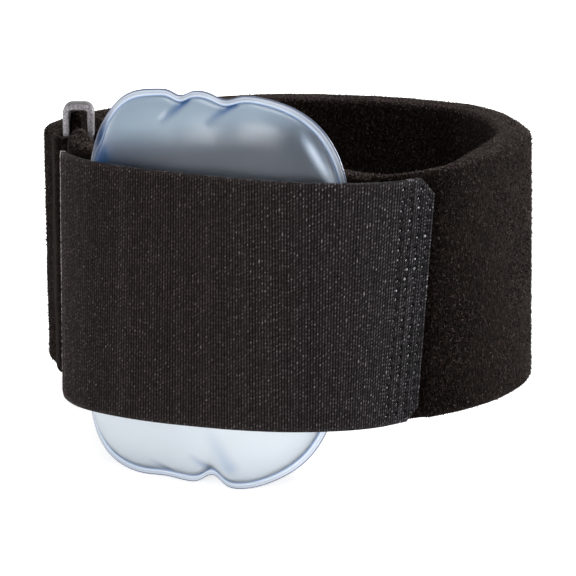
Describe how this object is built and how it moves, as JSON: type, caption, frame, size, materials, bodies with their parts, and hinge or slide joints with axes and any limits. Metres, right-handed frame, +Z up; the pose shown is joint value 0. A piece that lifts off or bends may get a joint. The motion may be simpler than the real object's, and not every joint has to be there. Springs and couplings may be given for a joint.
{
  "type": "tennis elbow support",
  "caption": "Padded forearm loop with a woven strap that presses a sealed air cell on the muscle, its band threaded through a slim plastic ring and folded back on hook tape.",
  "frame": {"origin": "under the middle of the whole support's box, on the surface that it stands on", "axes": "+X to the right as seen from the strap's side, +Y from the strap to the back of the loop, +Z up from the surface; the arm's axis leans 11 degrees back from +Z"},
  "size_m": [0.1008, 0.0928, 0.0781],
  "materials": {
    "loop_foam": "fuzzy loop pile on soft foam, brownish black",
    "hook_tape": "black nylon hooks",
    "woven_tape": "matte ribbed weave, charcoal black",
    "vinyl_film": "frosted pale blue vinyl film with a welded rim",
    "moulded_plastic": "dark grey moulded nylon, satin"
  },
  "bodies": {
    "root": {"foam_band": "loop_foam", "hook_tab": "hook_tape", "front_strap": "woven_tape", "air_cell": "vinyl_film", "strap_ring": "moulded_plastic"}
  },
  "joints": []
}
